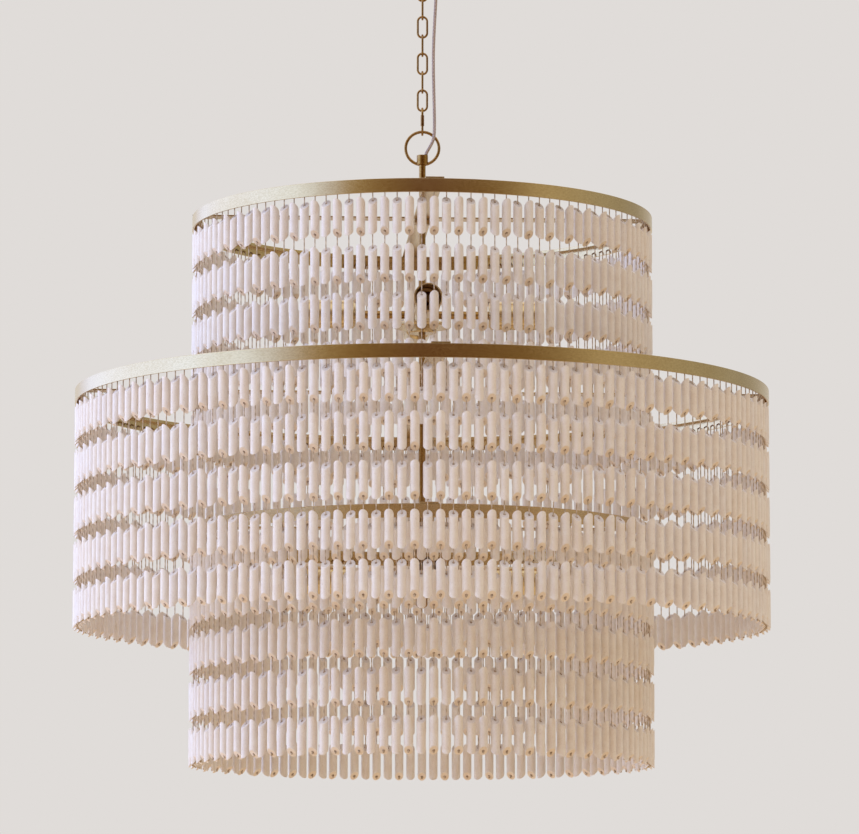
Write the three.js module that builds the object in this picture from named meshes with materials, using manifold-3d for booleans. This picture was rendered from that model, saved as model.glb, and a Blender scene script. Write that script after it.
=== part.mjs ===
// Beaded chandelier: three curtains of tube beads hung from brass rings on one stem, on a chain.
// Millimetres, +Z up. The origin is the middle of the ceiling plate's top face, against the ceiling.
// -Y is the side that faces a viewer, and +X is to the viewer's right.
import * as THREE from 'three';
import { mergeVertices } from 'three/addons/utils/BufferGeometryUtils.js';
import Module from 'manifold-3d';

const wasm = await Module();
wasm.setup();

// Clearances
const GAP = 0.3; // between pieces that touch
const RUN = 0.4; // round a piece that turns
const OVERRUN = 1; // how far a cutter passes the face it cuts
const ROOT = 1; // how deep a wire is sunk into its row

// Ceiling plate and canopy
const PLATE_LENGTH = 96;
const PLATE_WIDTH = 26;
const PLATE_THICKNESS = 4;
const BOSS_RADIUS = 9;
const BOSS_HEIGHT = 9;
const CANOPY_RADIUS = 62;
const CANOPY_HEIGHT = 34;
const CANOPY_WALL = 1.6;
const CANOPY_SHOULDER = 12;
const CANOPY_NECK = 16;
const CANOPY_RELIEF = 0.5; // between the canopy's rim and the ceiling
const COLLAR_RADIUS = 10;
const COLLAR_HEIGHT = 4;

// Loop under the canopy
const LOOP_OUTER = 30;
const LOOP_WIRE = 5;
const STUD_RADIUS = 4;

// Chain
const LINKS = 7;
const LINK_LENGTH = 36.2;
const LINK_WIDTH = 17.9;
const LINK_WIRE = 3.4;

// Quick link between the chain and the hanging ring
const QUICK_LENGTH = 45;
const QUICK_WIDTH = 20;
const QUICK_WIRE = 3.6;
const QUICK_OPENING = 6;
const SLEEVE_LENGTH = 17;
const SLEEVE_OUTER = 5.8;

// Hanging ring, stem and stem cap
const HANGER_OUTER = 56.4;
const HANGER_WIRE = 4.6;
const STEM_RADIUS = 5.2;
const STEM_BORE = 3;
const STEM_HEADROOM = 6; // stem above the hanging ring's wire
const CAP_RADIUS = 8.85;
const CAP_HEIGHT = 15.4;
const CAP_WALL = 2.6;
const CAP_DROP = 0.6; // cap below the middle of the hanging ring's wire

// Rings, spokes and nuts
const RING_SMALL = 355.6; // outer radius of the upper and lower rings
const RING_LARGE = 533.4; // outer radius of the middle ring
const BAND_HEIGHT = 20.6;
const BAND_WALL = 3;
const FLANGE_WIDTH = 14.5;
const FLANGE_WALL = 3;
const UPPER_BELOW_HANGER = 86.9; // upper ring's top below the middle of the hanging ring's lower wire
const MIDDLE_DROP = 272.4;
const LOWER_DROP = 209.9;
const SPOKE_WIDTH = 28;
const SPOKE_THICKNESS = 2.2;
const UPPER_TURN = 3.1; // degrees that the spokes are turned about the stem
const MIDDLE_TURN = 3.0;
const LOWER_TURN = 1.8;
const NUT_RADIUS = 12;
const NUT_HEIGHT = 8;

// Bead curtains
const ROWS = 5;
const BEAD_DIAMETER = 13.6;
const BEAD_HEIGHT = 58.4;
const ROW_PITCH = 70.6;
const FIRST_ROW_GAP = 4.6; // below the band
const BEAD_INSET = 7; // from the ring's outer face to the middle of the beads
const WIRE_RADIUS = 0.9;
const VALLEY_DEPTH = 9; // from a rib's crest to the valley beside it
const STRINGS_SMALL = 120; // round the upper and lower rings
const STRINGS_LARGE = 180; // round the middle ring
const FIRST_SMALL_SHARE = 0; // of a string's pitch, from +X to the first string
const FIRST_LARGE_SHARE = 1 / 2;
const HIDDEN_STRINGS = 3; // to one rib, in the rows that the middle curtain hides
const WIRES_SMALL = 4;
const WIRES_LARGE = 6;
const NOTCH_SIDE = 5; // beside a spoke that passes through a row
const NOTCH_HEAD = 2; // above it

// Lamp clusters
const LAMP_UPPER_DROP = 148.9; // lamp arms below the upper ring's top
const LAMP_LOWER_DROP = 78.7; // lamp arms below the lower ring's top
const LAMP_ARMS = 4;
const HUB_RADIUS = 45;
const HUB_DISC = 5;
const HUB_CORE = 17;
const HUB_RISE = 12; // hub above the middle of its arms
const HUB_FALL = 20; // hub below the middle of its arms
const BOSS_LOWER_RADIUS = 22;
const BOSS_LOWER_HEIGHT = 9;
const ARM_RADIUS = 6.2;
const SOCKET_INNER_END = 103; // socket's back, from the stem's middle
const SOCKET_LENGTH = 73;
const SOCKET_RADIUS = 22;
const SOCKET_WALL = 1.6;
const SOCKET_BACK = 9;
const CONTACT_RADIUS = 9;
const CONTACT_LENGTH = 14;
const SOCKET_CHAMFER = 4;
const FINIAL_RADIUS = 9;
const FINIAL_HEIGHT = 14;

// Supply cord, with its middle's points chosen by hand, down from the canopy to the stem cap
const CORD_RADIUS = 2.5;
const CORD_POINTS = [
  [23.4, 0, -33.5], [23.2, 0, -40], [22.4, 0, -58], [21.5, 0, -76], [20.7, 0, -94.4], [19.7, 0, -114],
  [18.7, 0, -133], [17.8, 0, -152.6], [17.2, 0, -172], [17.0, 0, -190], [17.2, 0, -210.8],
  [17.6, 0, -230], [18.1, 0, -250], [18.5, 0, -269], [18.8, -1.4, -284], [18.7, -4.6, -299],
  [18.4, -5.4, -306], [17.0, -5.4, -315], [13.4, -4.2, -323.4], [9.0, -2.0, -330.8], [6.2, -0.5, -336],
  [5.0, 0, -341],
];
const CORD_STEP = 12; // length of one step of a stretch
const CORD_SLIP = 0.7; // between two stretches whose ends slant
const CORD_REACH = 5; // of a stretch past the middle of its slanting end, before it is cut
const CORD_ROOM = 20; // side of the cutter that slants an end
const CORD_CLEAR = 2; // a stretch above one that rises as it swings
const BUSH_RADIUS = 3.7;
const BUSH_LIP = 0.8;
const BUSH_CLEAR = 1.3;
const BUSH_X = 4.9;

// Round resolution
const SIDES_SMALL = 40; // of the upper and lower rings
const SIDES_LARGE = 60; // of the middle ring
const ROUND_FINE = 40;
const ROUND_MIDDLE = 24;
const ROUND_SMALL = 12;
const ROUND_WIRE = 6;
const ROUND_TWINE = 4;
const ROUND_CORD = 8;

const BRASS = { color: 0x9a7b45, roughness: 0.32, metalness: 1 };
const CLAY = { color: 0xd8c8bb, roughness: 0.6, metalness: 0 };
const CORD_SKIN = { color: 0xcdbcbd, roughness: 0.7, metalness: 0 };
const BUSH_SKIN = { color: 0x3a3029, roughness: 0.6, metalness: 0 };

const QUARTER = Math.PI / 2;
const radians = THREE.MathUtils.degToRad;
const chandelier = new THREE.Group();

function solid(geometry) {
  const bare = geometry.index ? geometry.toNonIndexed() : geometry.clone();
  bare.deleteAttribute('normal');
  bare.deleteAttribute('uv');
  const merged = mergeVertices(bare);
  return new wasm.Manifold(new wasm.Mesh({
    numProp: 3,
    vertProperties: merged.attributes.position.array,
    triVerts: new Uint32Array(merged.index.array),
  }));
}

function shapeOf(body) {
  const mesh = body.getMesh();
  const geometry = new THREE.BufferGeometry();
  geometry.setAttribute('position', new THREE.BufferAttribute(new Float32Array(mesh.vertProperties), 3));
  geometry.setIndex(new THREE.BufferAttribute(new Uint32Array(mesh.triVerts), 1));
  geometry.computeVertexNormals();
  return geometry;
}

function joined(first, ...others) {
  return shapeOf(others.reduce((sum, other) => sum.add(solid(other)), solid(first)));
}

function cut(first, ...tools) {
  return shapeOf(tools.reduce((rest, tool) => rest.subtract(solid(tool)), solid(first)));
}

function add(name, geometry, look, parent = chandelier) {
  const mesh = new THREE.Mesh(geometry, new THREE.MeshStandardMaterial(look));
  mesh.name = name;
  parent.add(mesh);
  return mesh;
}

// A profile of [radius, height] points turned about Z
function turned(profile, sides) {
  const points = profile.map(([radius, height]) => new THREE.Vector2(radius, height));
  return new THREE.LatheGeometry(points, sides).rotateX(QUARTER);
}

function rod(radius, low, high, sides) {
  return turned([[0, low], [radius, low], [radius, high], [0, high]], sides);
}

function tube(outer, inner, low, high, sides) {
  return turned([[inner, low], [outer, low], [outer, high], [inner, high], [inner, low]], sides);
}

// A closed oval of round wire that stands in the XZ plane, its middle at the origin
function oval(length, width, wire, steps, sides) {
  const middle = (width - wire) / 2 / Math.cos(Math.PI / steps);
  const stretch = (length - width) / 2;
  const geometry = new THREE.TorusGeometry(middle, wire / 2, sides, steps).rotateZ(Math.PI / steps);
  const place = geometry.attributes.position;
  for (let i = 0; i < place.count; i += 1) {
    place.setY(i, place.getY(i) + Math.sign(place.getY(i)) * stretch);
  }
  return geometry.rotateX(QUARTER);
}

function polygon(radii, turn) {
  const points = radii.map((radius, i) => {
    const angle = turn + (i / radii.length) * 2 * Math.PI;
    return new THREE.Vector2(radius * Math.cos(angle), radius * Math.sin(angle));
  });
  return points;
}

function slab(points, holes, low, high) {
  const shape = new THREE.Shape(points);
  shape.holes = holes.map((hole) => new THREE.Path(hole));
  return new THREE.ExtrudeGeometry(shape, { depth: high - low, bevelEnabled: false }).translate(0, 0, low);
}

// Heights of the pieces that hang from each other, from the ceiling down
const collarTop = -CANOPY_HEIGHT - GAP;
const loopTop = collarTop - COLLAR_HEIGHT - GAP;
const loopMiddle = loopTop - LOOP_OUTER / 2;
const loopWire = loopMiddle - (LOOP_OUTER - LOOP_WIRE) / 2;
const linkReach = LINK_LENGTH - LINK_WIRE; // between the middles of a link's two end wires
const linkStep = linkReach - LINK_WIRE - GAP;
const firstLinkWire = loopWire + (LOOP_WIRE + LINK_WIRE) / 2 + GAP;
const lastLinkLow = firstLinkWire - linkStep * (LINKS - 1) - linkReach;
const quickHigh = lastLinkLow + (LINK_WIRE + QUICK_WIRE) / 2 + GAP;
const quickLow = quickHigh - (QUICK_LENGTH - QUICK_WIRE);
const hangerHigh = quickLow + (QUICK_WIRE + HANGER_WIRE) / 2 + GAP;
const hangerMiddle = hangerHigh - (HANGER_OUTER - HANGER_WIRE) / 2;
const hangerLow = hangerMiddle - (HANGER_OUTER - HANGER_WIRE) / 2;
const capBottom = hangerLow - CAP_DROP;
const capTop = capBottom + CAP_HEIGHT;
const stemTop = hangerLow + HANGER_WIRE / 2 + STEM_HEADROOM;
const upperTop = hangerLow - UPPER_BELOW_HANGER;
const middleTop = upperTop - MIDDLE_DROP;
const lowerTop = middleTop - LOWER_DROP;

function addCeilingPieces() {
  const plate = new THREE.BoxGeometry(PLATE_LENGTH, PLATE_WIDTH, PLATE_THICKNESS);
  plate.translate(0, 0, -PLATE_THICKNESS / 2);
  const bossLow = -PLATE_THICKNESS - BOSS_HEIGHT;
  const boss = rod(BOSS_RADIUS, bossLow, -PLATE_THICKNESS / 2, ROUND_SMALL);
  const stud = rod(STUD_RADIUS + GAP, bossLow - OVERRUN, -PLATE_THICKNESS, ROUND_SMALL);
  add('ceiling_plate', cut(joined(plate, boss), stud), BRASS);

  const shoulder = -CANOPY_HEIGHT + CANOPY_SHOULDER;
  const inside = CANOPY_RADIUS - CANOPY_WALL;
  const canopy = turned([
    [STUD_RADIUS + GAP, -CANOPY_HEIGHT],
    [CANOPY_NECK, -CANOPY_HEIGHT],
    [CANOPY_RADIUS - CANOPY_SHOULDER, shoulder - CANOPY_SHOULDER / 2],
    [CANOPY_RADIUS, shoulder],
    [CANOPY_RADIUS, -CANOPY_RELIEF],
    [inside, -CANOPY_RELIEF],
    [inside, shoulder],
    [inside - CANOPY_SHOULDER, shoulder - CANOPY_SHOULDER / 2 + CANOPY_WALL],
    [CANOPY_NECK, -CANOPY_HEIGHT + CANOPY_WALL],
    [STUD_RADIUS + GAP, -CANOPY_HEIGHT + CANOPY_WALL],
    [STUD_RADIUS + GAP, -CANOPY_HEIGHT],
  ], ROUND_MIDDLE);
  const [cordX, cordY] = CORD_POINTS[0];
  const bushHole = rod(BUSH_RADIUS + GAP, -CANOPY_HEIGHT - OVERRUN, 0, ROUND_SMALL).translate(cordX, cordY, 0);
  add('canopy', cut(canopy, bushHole), BRASS);

  const collar = tube(COLLAR_RADIUS, STUD_RADIUS + GAP, collarTop - COLLAR_HEIGHT, collarTop, ROUND_SMALL);
  add('canopy_collar', collar, BRASS);

  const loop = oval(LOOP_OUTER, LOOP_OUTER, LOOP_WIRE, ROUND_SMALL, ROUND_WIRE).rotateZ(QUARTER);
  loop.translate(0, 0, loopMiddle);
  const studHigh = -PLATE_THICKNESS - GAP;
  add('canopy_loop', joined(loop, rod(STUD_RADIUS, loopTop - LOOP_WIRE / 2, studHigh, ROUND_SMALL)), BRASS);
}

// Links take turns: odd ones face the viewer, and even ones are seen side-on
function addChain() {
  for (let i = 0; i < LINKS; i += 1) {
    const link = oval(LINK_LENGTH, LINK_WIDTH, LINK_WIRE, ROUND_SMALL, ROUND_WIRE);
    if (i % 2 === 1) link.rotateZ(QUARTER);
    link.translate(0, 0, firstLinkWire - linkStep * i - linkReach / 2);
    add(`chain_link_${i + 1}`, link, BRASS);
  }
}

function addQuickLink() {
  const middle = (quickHigh + quickLow) / 2;
  const leg = -(QUICK_WIDTH - QUICK_WIRE) / 2;
  const link = oval(QUICK_LENGTH, QUICK_WIDTH, QUICK_WIRE, ROUND_SMALL, ROUND_WIRE).rotateZ(QUARTER);
  const opening = new THREE.BoxGeometry(QUICK_WIDTH, QUICK_WIRE + OVERRUN, QUICK_OPENING);
  const geometry = cut(link, opening.translate(0, leg, 0));
  add('quick_link', geometry.translate(0, 0, middle), BRASS);
  const inner = QUICK_WIRE / 2 + GAP;
  const sleeve = tube(SLEEVE_OUTER / 2, inner, -SLEEVE_LENGTH / 2, SLEEVE_LENGTH / 2, ROUND_CORD);
  add('quick_link_sleeve', sleeve, BRASS).position.set(0, leg, middle);
}

function hangerSolid(extra) {
  const wire = HANGER_WIRE + 2 * extra;
  const ring = oval(HANGER_OUTER + 2 * extra, HANGER_OUTER + 2 * extra, wire, ROUND_MIDDLE, ROUND_CORD);
  return ring.translate(0, 0, hangerMiddle);
}

function addStem() {
  add('hanging_ring', hangerSolid(0), BRASS);

  const stemLow = lowerTop - LAMP_LOWER_DROP - HUB_FALL - BOSS_LOWER_HEIGHT - FINIAL_HEIGHT;
  const bar = tube(STEM_RADIUS, STEM_BORE, stemLow + FINIAL_HEIGHT / 2, stemTop, ROUND_SMALL);
  add('stem', cut(bar, hangerSolid(RUN)), BRASS);

  const inner = STEM_RADIUS + GAP;
  const roof = capTop - CAP_WALL;
  const cap = turned([
    [0, roof], [inner, roof], [inner, capBottom], [CAP_RADIUS, capBottom], [CAP_RADIUS, capTop], [0, capTop],
  ], ROUND_MIDDLE);
  const hole = rod(BUSH_RADIUS - BUSH_LIP + GAP, roof - OVERRUN, capTop + OVERRUN, ROUND_SMALL);
  add('stem_cap', cut(cap, hangerSolid(RUN), hole.translate(BUSH_X, 0, 0)), BRASS);

  const finialTop = stemLow + FINIAL_HEIGHT - GAP;
  const finial = turned([
    [0, stemLow], [FINIAL_RADIUS / 2, stemLow], [FINIAL_RADIUS, stemLow + FINIAL_HEIGHT / 2],
    [FINIAL_RADIUS, finialTop], [inner, finialTop], [inner, stemLow + FINIAL_HEIGHT / 2 - GAP],
    [0, stemLow + FINIAL_HEIGHT / 2 - GAP],
  ], ROUND_SMALL);
  add('stem_finial', finial, BRASS);
}

const small = {
  radius: RING_SMALL, sides: SIDES_SMALL, strings: STRINGS_SMALL, firstShare: FIRST_SMALL_SHARE, wires: WIRES_SMALL,
};
const large = {
  radius: RING_LARGE, sides: SIDES_LARGE, strings: STRINGS_LARGE, firstShare: FIRST_LARGE_SHARE, wires: WIRES_LARGE,
};
const tiers = [
  { ...small, name: 'upper', top: upperTop, turn: UPPER_TURN, hiddenRows: [4, 5] },
  { ...large, name: 'middle', top: middleTop, turn: MIDDLE_TURN, hiddenRows: [] },
  { ...small, name: 'lower', top: lowerTop, turn: LOWER_TURN, hiddenRows: [1, 2] },
];

function addFrame({ name, radius, top, turn, sides }) {
  const low = top - BAND_HEIGHT;
  const flange = radius - FLANGE_WIDTH;
  const web = radius - BAND_WALL;
  const shelf = top - FLANGE_WALL;
  const ring = turned([
    [web, low], [radius, low], [radius, top], [flange, top], [flange, shelf], [web, shelf], [web, low],
  ], sides);
  add(`${name}_ring`, ring, BRASS);

  const under = top + GAP;
  const reach = 2 * (radius - GAP);
  const bars = [0, QUARTER].map((angle) => {
    const bar = new THREE.BoxGeometry(SPOKE_WIDTH, reach, SPOKE_THICKNESS).rotateZ(angle);
    return bar.translate(0, 0, under + SPOKE_THICKNESS / 2);
  });
  const hole = rod(STEM_RADIUS + GAP, under - OVERRUN, under + SPOKE_THICKNESS + OVERRUN, ROUND_SMALL);
  const cross = cut(joined(...bars), hole);
  add(`${name}_spokes`, cross, BRASS).rotation.z = radians(turn);

  const nut = tube(NUT_RADIUS, STEM_RADIUS + GAP, under - GAP - NUT_HEIGHT, under - GAP, ROUND_SMALL);
  add(`${name}_hub_nut`, nut, BRASS);
}

// A row of beads as one band with a rib for each string or few, hung on the wires that pass up through it
function beadRow({ radius, sides, strings, firstShare, wires }, ribs, wireHigh) {
  const bead = BEAD_DIAMETER / 2;
  const middle = radius - BEAD_INSET;
  const crest = middle + bead;
  const first = (firstShare / strings) * 2 * Math.PI;
  const outline = [];
  for (let i = 0; i < ribs; i += 1) outline.push(crest, crest - VALLEY_DEPTH);
  const inside = new Array(sides / 2).fill(middle - bead);
  const band = slab(polygon(outline, first), [polygon(inside, 0)], -BEAD_HEIGHT, 0);
  const hangers = [];
  for (let i = 0; i < wires; i += 1) {
    const place = first + (Math.round(((i + 1 / 2) / wires) * strings) / strings) * 2 * Math.PI;
    const wire = rod(WIRE_RADIUS, -ROOT, wireHigh, ROUND_TWINE);
    hangers.push(wire.translate(middle * Math.cos(place), middle * Math.sin(place), 0));
  }
  return joined(band, ...hangers);
}

// The room that a row leaves where a wider tier's spokes pass through it, open downwards
function spokeNotches(radius, rowTop) {
  const rowLow = rowTop - BEAD_HEIGHT;
  const crossed = tiers.filter((tier) => tier.radius > radius && tier.top < rowTop && tier.top > rowLow);
  return crossed.flatMap(({ top, turn }) => [0, QUARTER].map((angle) => {
    const low = rowLow - OVERRUN;
    const high = top + GAP + SPOKE_THICKNESS + NOTCH_HEAD;
    const notch = new THREE.BoxGeometry(SPOKE_WIDTH + 2 * NOTCH_SIDE, 2 * radius, high - low);
    return notch.rotateZ(angle + radians(turn)).translate(0, 0, (high + low) / 2);
  }));
}

function addCurtain(tier) {
  for (let row = 1; row <= ROWS; row += 1) {
    const above = row === 1 ? FIRST_ROW_GAP + BAND_HEIGHT - FLANGE_WALL : ROW_PITCH - BEAD_HEIGHT;
    const rowTop = tier.top - BAND_HEIGHT - FIRST_ROW_GAP - (row - 1) * ROW_PITCH;
    const ribs = tier.hiddenRows.includes(row) ? tier.strings / HIDDEN_STRINGS : tier.strings;
    const curtain = beadRow(tier, ribs, above - GAP).translate(0, 0, rowTop);
    add(`${tier.name}_bead_row_${row}`, cut(curtain, ...spokeNotches(tier.radius, rowTop)), CLAY);
  }
}

function addLamps(name, level, turn) {
  const cluster = new THREE.Group();
  cluster.position.z = level;
  cluster.rotation.z = radians(turn);
  chandelier.add(cluster);

  const bore = STEM_RADIUS + GAP;
  const discTop = -HUB_FALL + HUB_DISC;
  const core = turned([
    [bore, -HUB_FALL - BOSS_LOWER_HEIGHT], [BOSS_LOWER_RADIUS, -HUB_FALL - BOSS_LOWER_HEIGHT],
    [BOSS_LOWER_RADIUS, -HUB_FALL], [HUB_RADIUS, -HUB_FALL], [HUB_RADIUS, discTop], [HUB_CORE, discTop],
    [HUB_CORE, HUB_RISE], [bore, HUB_RISE], [bore, -HUB_FALL - BOSS_LOWER_HEIGHT],
  ], ROUND_SMALL);
  const arms = [];
  for (let i = 0; i < LAMP_ARMS; i += 1) {
    const arm = rod(ARM_RADIUS, (bore + HUB_CORE) / 2, SOCKET_INNER_END - GAP, ROUND_CORD);
    arms.push(arm.rotateY(QUARTER).rotateZ(QUARTER * i));
  }
  add(`${name}_lamp_hub`, joined(core, ...arms), BRASS, cluster);

  const inside = SOCKET_RADIUS - SOCKET_WALL;
  const mouth = SOCKET_INNER_END + SOCKET_LENGTH;
  const floor = SOCKET_INNER_END + SOCKET_BACK;
  const socket = turned([
    [0, SOCKET_INNER_END], [SOCKET_RADIUS - SOCKET_CHAMFER, SOCKET_INNER_END],
    [SOCKET_RADIUS, SOCKET_INNER_END + SOCKET_CHAMFER], [SOCKET_RADIUS, mouth], [inside, mouth], [inside, floor],
    [CONTACT_RADIUS, floor], [CONTACT_RADIUS, floor + CONTACT_LENGTH], [0, floor + CONTACT_LENGTH],
  ], ROUND_SMALL).rotateY(QUARTER);
  for (let i = 0; i < LAMP_ARMS; i += 1) {
    add(`${name}_socket_${i + 1}`, socket.clone(), BRASS, cluster).rotation.z = QUARTER * i;
  }
}

// The cord's middle at a height, found by halving: it always runs downwards
const cordLine = new THREE.CatmullRomCurve3(CORD_POINTS.map((point) => new THREE.Vector3(...point)));

function cordShare(height) {
  let high = 0;
  let low = 1;
  for (let i = 0; i < ROUND_FINE; i += 1) {
    const middle = (high + low) / 2;
    if (cordLine.getPoint(middle).z > height) high = middle;
    else low = middle;
  }
  return (high + low) / 2;
}

function cordStretch(from, to) {
  const steps = Math.max(2, Math.round((from - to) / CORD_STEP));
  const start = cordShare(from);
  const end = cordShare(to);
  const points = [];
  for (let i = 0; i <= steps; i += 1) points.push(cordLine.getPoint(start + (end - start) * (i / steps)));
  const section = new THREE.Shape(polygon(new Array(ROUND_CORD).fill(CORD_RADIUS), 0));
  return new THREE.ExtrudeGeometry(section, { steps, extrudePath: new THREE.CatmullRomCurve3(points) });
}

// What lies past a slanting end. It slants so that the next stretch slides past it as the link above swings
function pastEnd(height, side) {
  const middle = cordLine.getPoint(cordShare(height));
  const room = new THREE.BoxGeometry(CORD_ROOM, CORD_ROOM, CORD_ROOM);
  room.translate(0, 0, (side * (CORD_ROOM - CORD_SLIP)) / 2);
  return room.rotateY(-Math.atan2(middle.x, linkStep)).translate(middle.x, middle.y, height);
}

// A bush in a wall from low to high, with a lip on the wall's outer face
function bush(low, high, lip) {
  const thin = BUSH_RADIUS - BUSH_LIP;
  const profile = [[0, low], [thin, low], [thin, high], [BUSH_RADIUS, high], [BUSH_RADIUS, lip], [0, lip]];
  return turned(profile, ROUND_SMALL);
}

function addCord() {
  const [topX, topY] = CORD_POINTS[0];
  const canopyBush = rod(BUSH_RADIUS, -CANOPY_HEIGHT - BUSH_LIP, -CANOPY_HEIGHT + CANOPY_WALL, ROUND_SMALL);
  add('canopy_bush', canopyBush.translate(topX, topY, 0), BUSH_SKIN);
  const capBush = bush(capTop - CAP_WALL, capTop + GAP, capTop + GAP + BUSH_LIP);
  add('stem_cap_bush', capBush.translate(BUSH_X, 0, 0), BUSH_SKIN);

  // Each stretch ends level with the wire that the next side-on piece turns on
  const slants = [2, 4, 6].map((count) => firstLinkWire - linkStep * (count - 2) - linkReach);
  slants.push(lastLinkLow);
  const ends = [-CANOPY_HEIGHT - BUSH_LIP, ...slants, quickLow, capTop + GAP + BUSH_LIP];
  for (let i = 0; i + 1 < ends.length; i += 1) {
    const [high, low] = [ends[i], ends[i + 1]];
    const cutters = [];
    if (slants.includes(high)) cutters.push(pastEnd(high, 1));
    if (slants.includes(low)) cutters.push(pastEnd(low, -1));
    const clear = i + 2 === ends.length ? BUSH_CLEAR : CORD_CLEAR;
    const from = slants.includes(high) ? high + CORD_REACH : high - GAP;
    const to = slants.includes(low) ? low - CORD_REACH : low + clear;
    add(`supply_cord_${i + 1}`, cut(cordStretch(from, to), ...cutters), CORD_SKIN);
  }
}

addCeilingPieces();
addChain();
addQuickLink();
addStem();
tiers.forEach(addFrame);
tiers.forEach(addCurtain);
addLamps('upper', upperTop - LAMP_UPPER_DROP, UPPER_TURN);
addLamps('lower', lowerTop - LAMP_LOWER_DROP, UPPER_TURN);
addCord();

export default chandelier;
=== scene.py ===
import math
import random

import bmesh
import bpy
from mathutils import Matrix, Vector


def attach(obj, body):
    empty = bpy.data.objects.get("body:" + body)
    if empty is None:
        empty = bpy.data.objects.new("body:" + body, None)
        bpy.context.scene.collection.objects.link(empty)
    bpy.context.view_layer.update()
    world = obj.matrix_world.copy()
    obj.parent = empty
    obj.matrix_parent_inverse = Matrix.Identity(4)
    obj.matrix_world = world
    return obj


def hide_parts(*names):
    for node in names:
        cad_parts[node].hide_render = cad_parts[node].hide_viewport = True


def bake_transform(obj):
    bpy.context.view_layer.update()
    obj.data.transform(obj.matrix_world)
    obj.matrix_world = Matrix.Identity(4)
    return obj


# A beaded chandelier in metres, +Z up. The viewer looks along +Y, and the ceiling is at zero height.
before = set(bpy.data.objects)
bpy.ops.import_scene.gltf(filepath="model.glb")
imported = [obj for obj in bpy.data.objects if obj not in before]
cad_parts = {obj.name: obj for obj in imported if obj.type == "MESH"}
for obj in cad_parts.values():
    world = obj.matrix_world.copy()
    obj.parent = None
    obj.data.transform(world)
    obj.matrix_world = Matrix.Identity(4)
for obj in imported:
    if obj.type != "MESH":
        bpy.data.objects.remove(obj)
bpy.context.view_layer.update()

ORIGIN = Vector()
ACROSS = Vector((1, 0, 0))
ALONG = Vector((0, 1, 0))
UP = Vector((0, 0, 1))
TURN = 2 * math.pi
HALF_TURN = math.pi
QUARTER = math.pi / 2
MERGE = 1e-6  # points nearer than this are one point
FIT_GAP = 0.0003  # between pieces that fit together
SHARP = math.radians(38)  # edges that turn more than this stay sharp

# Camera and floor
CAMERA_PLACE = (0.0116, -7.0275, -1.6877)
CAMERA_TILT = math.radians(7.61)
CAMERA_ROLL = math.radians(0.06)
CAMERA_LENS = 192.87
CAMERA_SENSOR = 36
CAMERA_SIGHT = 60
FLOOR_HEIGHT = -2.4
FLOOR_SIDE = 14

# Light. The lamps' power is in watts. The room's shares run round it from behind the tiers, past the left
# at a quarter, behind the viewer at a half and the right at three quarters.
LAMP_TARGET = (0, 0, -0.85)
LAMPS = {
    "window": {"place": (-4.0, -1.8, -0.2), "size": (3.8, 3.0), "power": 68, "colour": "#D3DEFF"},
    "room_lamp": {"place": (3.0, -2.6, -0.6), "size": (2.6, 2.4), "power": 8, "colour": "#FFD27A"},
}
ROOM_SHARES = [
    (0.0, (0.80, 0.77, 0.72, 1)), (0.06, (0.80, 0.78, 0.75, 1)), (0.12, (1.27, 1.58, 2.6, 1)),
    (0.24, (1.25, 1.63, 2.9, 1)), (0.33, (1.15, 1.5, 2.5, 1)), (0.40, (0.43, 0.33, 0.16, 1)),
    (0.44, (0.25, 0.15, 0.03, 1)), (0.50, (0.13, 0.045, 0, 1)), (0.60, (0.22, 0.13, 0.03, 1)),
    (0.67, (0.54, 0.47, 0.32, 1)), (0.78, (0.46, 0.44, 0.36, 1)), (0.87, (0.42, 0.41, 0.37, 1)),
    (1.0, (0.80, 0.77, 0.72, 1)),
]
RISE_SHARES = [(0.62, (0, 0, 0, 1)), (0.8, (1, 1, 1, 1))]  # of the height, from the sides to the ceiling
CEILING_GLOW = (1.05, 1.05, 1.18, 1)
BACKDROP = "#E0DCD9"  # all that the camera sees of the room

# Supply cord: the same points as in the part's source, down from the canopy to the stem cap
CORD_DIAMETER = 0.005
CORD_POINTS = [
    (0.0234, 0, -0.0335), (0.0232, 0, -0.040), (0.0224, 0, -0.058), (0.0215, 0, -0.076),
    (0.0207, 0, -0.0944), (0.0197, 0, -0.114), (0.0187, 0, -0.133), (0.0178, 0, -0.1526),
    (0.0172, 0, -0.172), (0.0170, 0, -0.190), (0.0172, 0, -0.2108), (0.0176, 0, -0.230),
    (0.0181, 0, -0.250), (0.0185, 0, -0.269), (0.0188, -0.0014, -0.284), (0.0187, -0.0046, -0.299),
    (0.0184, -0.0054, -0.306), (0.0170, -0.0054, -0.315), (0.0134, -0.0042, -0.3234),
    (0.0090, -0.0020, -0.3308), (0.0062, -0.0005, -0.336), (0.0050, 0, -0.341),
]
CORD_STEPS = 8  # between two points
CORD_ROUND = 5  # the bevel's resolution
# Each stretch: its first and last point, and the two bodies that it runs between
CORD_STRETCHES = [
    (0, 4, "ceiling_fitting", "link_1"),
    (4, 7, "link_2", "link_3"),
    (7, 10, "link_4", "link_5"),
    (10, 13, "link_6", "link_7"),
    (13, 16, "quick", "hanger"),
    (16, 21, "hanger", "light"),
]

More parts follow.
